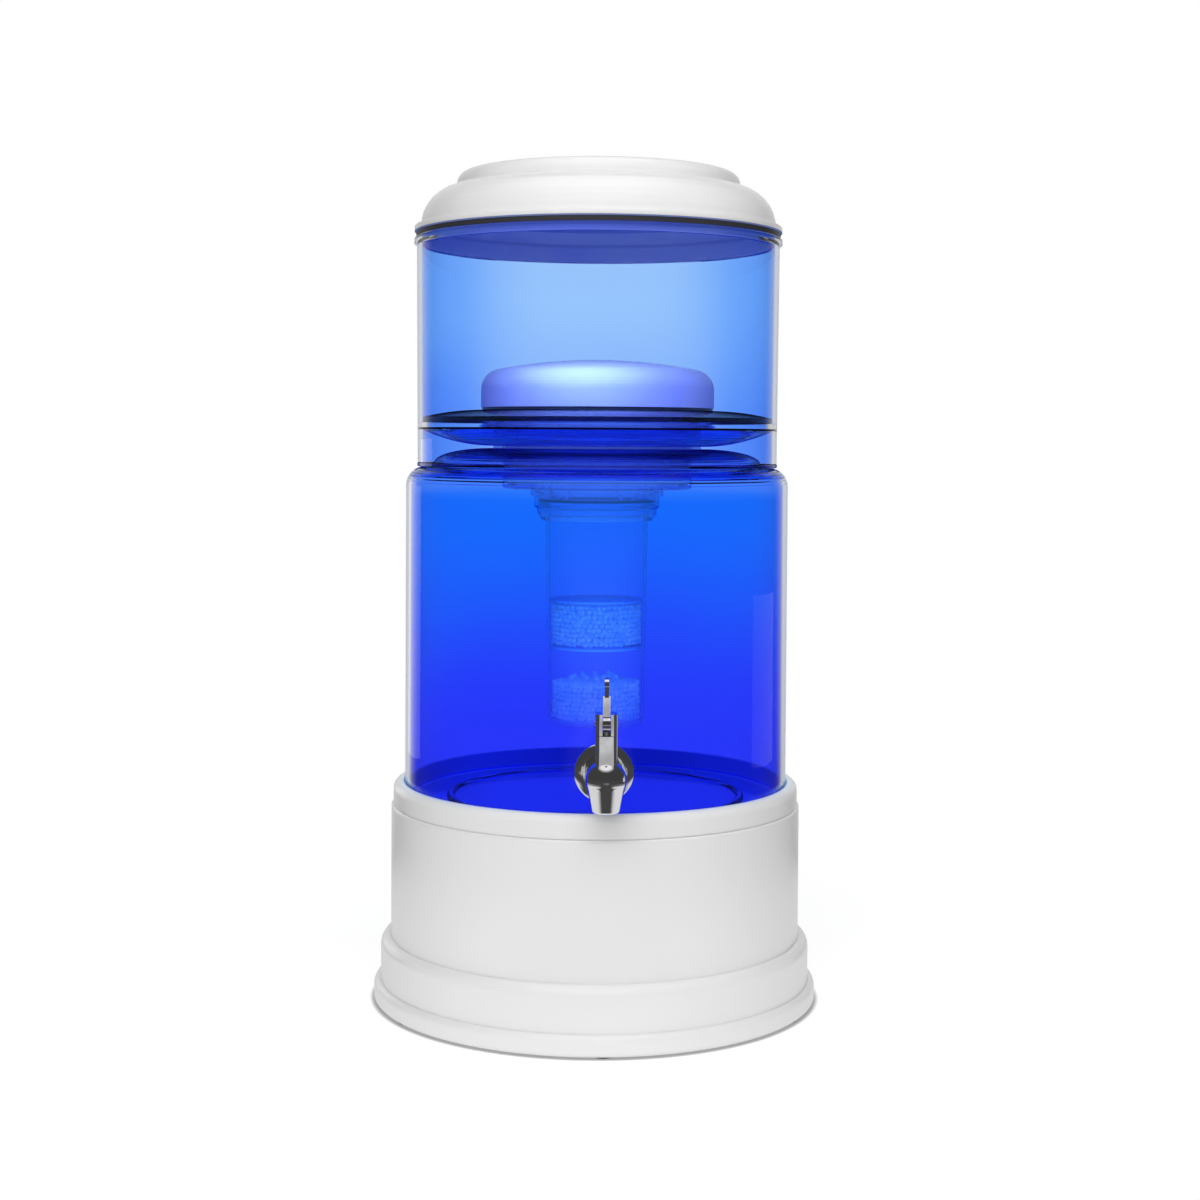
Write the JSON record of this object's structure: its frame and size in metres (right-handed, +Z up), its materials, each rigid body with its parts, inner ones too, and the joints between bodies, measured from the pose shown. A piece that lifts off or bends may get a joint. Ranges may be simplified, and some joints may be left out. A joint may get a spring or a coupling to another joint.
{
  "type": "gravity water filter",
  "caption": "Countertop gravity water filter: two stacked tinted tanks on a hollow stand, with a pre-filter dome, a hanging media cartridge, a lid and a self-closing lever tap.",
  "frame": {"origin": "on the surface that the filter stands on, on the axis of the tanks", "axes": "+Z up along the tanks' axis; the tap is at the front and points to -Y; +X is to the right of the tap seen from the front"},
  "size_m": [0.28, 0.3016, 0.522],
  "materials": {
    "stand_white": "smooth, softly glossy white ABS",
    "pad_rubber": "matt grey rubber",
    "tank_blue": "clear tinted blue, polished",
    "clear_blue": "clear light blue, polished",
    "chrome": "polished chrome plate",
    "silicone": "translucent white silicone",
    "nut_white": "moulded white nylon",
    "steel": "plain stainless steel",
    "valve_rubber": "black rubber",
    "ceramic": "unglazed white ceramic",
    "media": "bed of light mineral beads, seen through the tint",
    "screen": "thin perforated disc with a felt face",
    "beads": "round pale mineral beads",
    "lid_white": "smooth, softly glossy white ABS",
    "gasket_black": "matt charcoal silicone"
  },
  "bodies": {
    "stand": {"base_stand": "stand_white", "base_feet": "pad_rubber", "seat_ring": "stand_white"},
    "vessel": {"lower_tank": "tank_blue", "tap_body": "chrome", "tap_escutcheon": "chrome", "tap_outer_washer": "silicone", "tap_inner_washer": "silicone", "tap_nut": "nut_white", "tap_bonnet": "chrome", "lever_pin": "steel", "stem_seal": "valve_rubber"},
    "lever": {"tap_lever": "chrome"},
    "valve": {"valve_stem": "steel", "valve_seal": "valve_rubber", "valve_spring": "steel"},
    "cover": {"tank_cover": "tank_blue"},
    "upper": {"upper_tank": "tank_blue", "filter_holder": "clear_blue", "holder_gasket": "silicone", "holder_nut": "clear_blue"},
    "tray": {"prefilter_tray": "tank_blue"},
    "prefilter": {"prefilter_dome": "ceramic", "prefilter_seal": "gasket_black"},
    "cartridge": {"cartridge_crown": "clear_blue", "cartridge_seal": "valve_rubber", "cartridge_tube": "clear_blue", "cartridge_foot": "clear_blue", "upper_screen": "screen", "upper_media": "media", "middle_screen": "screen", "loose_beads": "beads", "lower_media": "media"},
    "lid": {"lid": "lid_white", "lid_gasket": "gasket_black"}
  },
  "joints": [
    {"name": "tank_lift", "type": "slide", "parent": "stand", "child": "vessel", "axis": [0, 0, 1], "range_m": [0, 0.15]},
    {"name": "cover_lift", "type": "slide", "parent": "vessel", "child": "cover", "axis": [0, 0, 1], "range_m": [0, 0.2]},
    {"name": "upper_lift", "type": "slide", "parent": "cover", "child": "upper", "axis": [0, 0, 1], "range_m": [0, 0.19]},
    {"name": "lid_lift", "type": "slide", "parent": "upper", "child": "lid", "axis": [0, 0, 1], "range_m": [0, 0.12]},
    {"name": "tray_lift", "type": "slide", "parent": "upper", "child": "tray", "axis": [0, 0, 1], "range_m": [0, 0.09]},
    {"name": "prefilter_lift", "type": "slide", "parent": "tray", "child": "prefilter", "axis": [0, 0, 1], "range_m": [0, 0.1]},
    {"name": "cartridge_lift", "type": "slide", "parent": "upper", "child": "cartridge", "axis": [0, 0, 1], "range_m": [0, 0.05]},
    {"name": "lever_pull", "type": "hinge", "parent": "vessel", "child": "lever", "pos_m": [0, -0.15, 0.1939], "axis": [1, 0, 0], "range_deg": [0, 37], "stiffness_Nm_per_rad": 0.15, "springref_deg": -17.19},
    {"name": "valve_push", "type": "slide", "parent": "vessel", "child": "valve", "axis": [0, 0, -1], "range_m": [0, 0.0022], "deforming": ["valve_spring"]}
  ],
  "couplings": [
    {"joint": "valve_push", "follows": "lever_pull", "m_per_rad": 0.003354}
  ]
}
